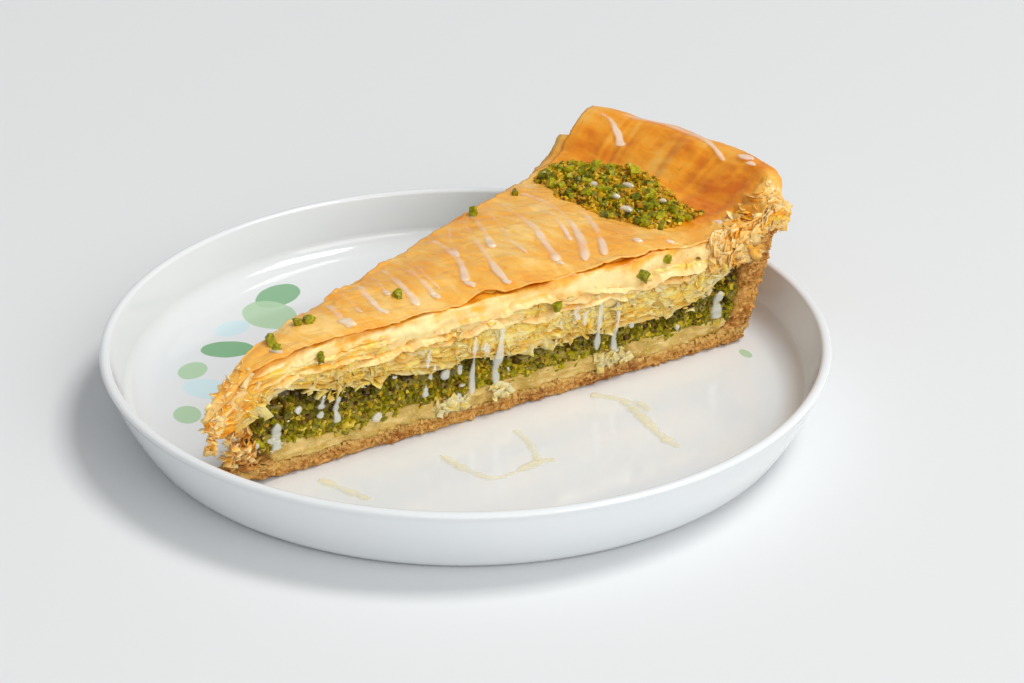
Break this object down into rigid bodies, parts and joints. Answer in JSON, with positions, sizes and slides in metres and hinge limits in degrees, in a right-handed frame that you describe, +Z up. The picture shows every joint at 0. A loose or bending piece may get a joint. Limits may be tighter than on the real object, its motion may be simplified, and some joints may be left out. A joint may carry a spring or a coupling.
{
  "type": "pistachio baklava slice",
  "caption": "Wedge of layered pistachio baklava pie with a pastry crust, raised rim, icing and chopped nuts, on its round low-walled dessert plate.",
  "frame": {"origin": "middle of the plate's foot, on the table", "axes": "+Z up; +X from the tip of the slice along its middle line to the rim; +Y to the far cut"},
  "size_m": [0.17, 0.17, 0.0445],
  "materials": {
    "plate": "white gloss glaze",
    "crust": "baked shortcrust, grainy and matt",
    "lower_pastry": "syrup-soaked pastry, damp and crumbly",
    "pistachio_filling": "chopped pistachios in syrup, half glossy",
    "filo_top": "thin baked sheets brushed with butter, half glossy",
    "pistachio_topping": "chopped pistachios, matt"
  },
  "bodies": {
    "root": {"plate": "plate", "crust": "crust", "lower_pastry": "lower_pastry", "pistachio_filling": "pistachio_filling", "filo_top": "filo_top", "pistachio_topping": "pistachio_topping"}
  },
  "joints": []
}
